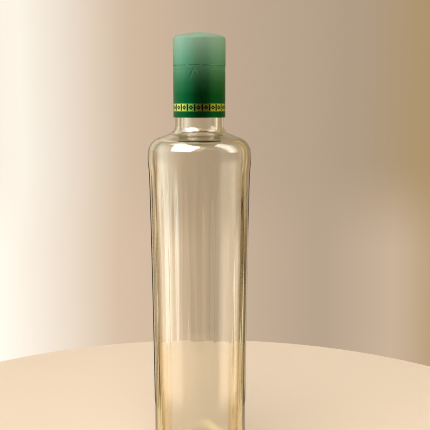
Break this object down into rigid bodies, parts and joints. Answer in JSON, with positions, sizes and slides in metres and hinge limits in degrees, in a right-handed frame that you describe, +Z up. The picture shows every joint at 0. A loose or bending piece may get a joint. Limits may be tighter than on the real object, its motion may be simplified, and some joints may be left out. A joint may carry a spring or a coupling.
{
  "type": "empty glass bottle with a long screw closure",
  "caption": "Empty clear glass bottle, round and slightly tapered, with a broad shoulder, a short thick neck and a long green screw closure with a gold band.",
  "frame": {"origin": "middle of the foot, on the surface that the bottle stands on", "axes": "+Z up the bottle's axis to the closure; -Y is the side that the picture shows, +X is to the right there"},
  "size_m": [0.065, 0.065, 0.2862],
  "materials": {
    "clear_glass": "polished clear glass with a faint straw tint, thick in the wall and the foot",
    "green_closure": "satin green lacquer on thin aluminium, paler and frosted towards the top, with a printed gold ornament band"
  },
  "bodies": {
    "root": {"glass_bottle": "clear_glass", "screw_closure": "green_closure"}
  },
  "joints": []
}
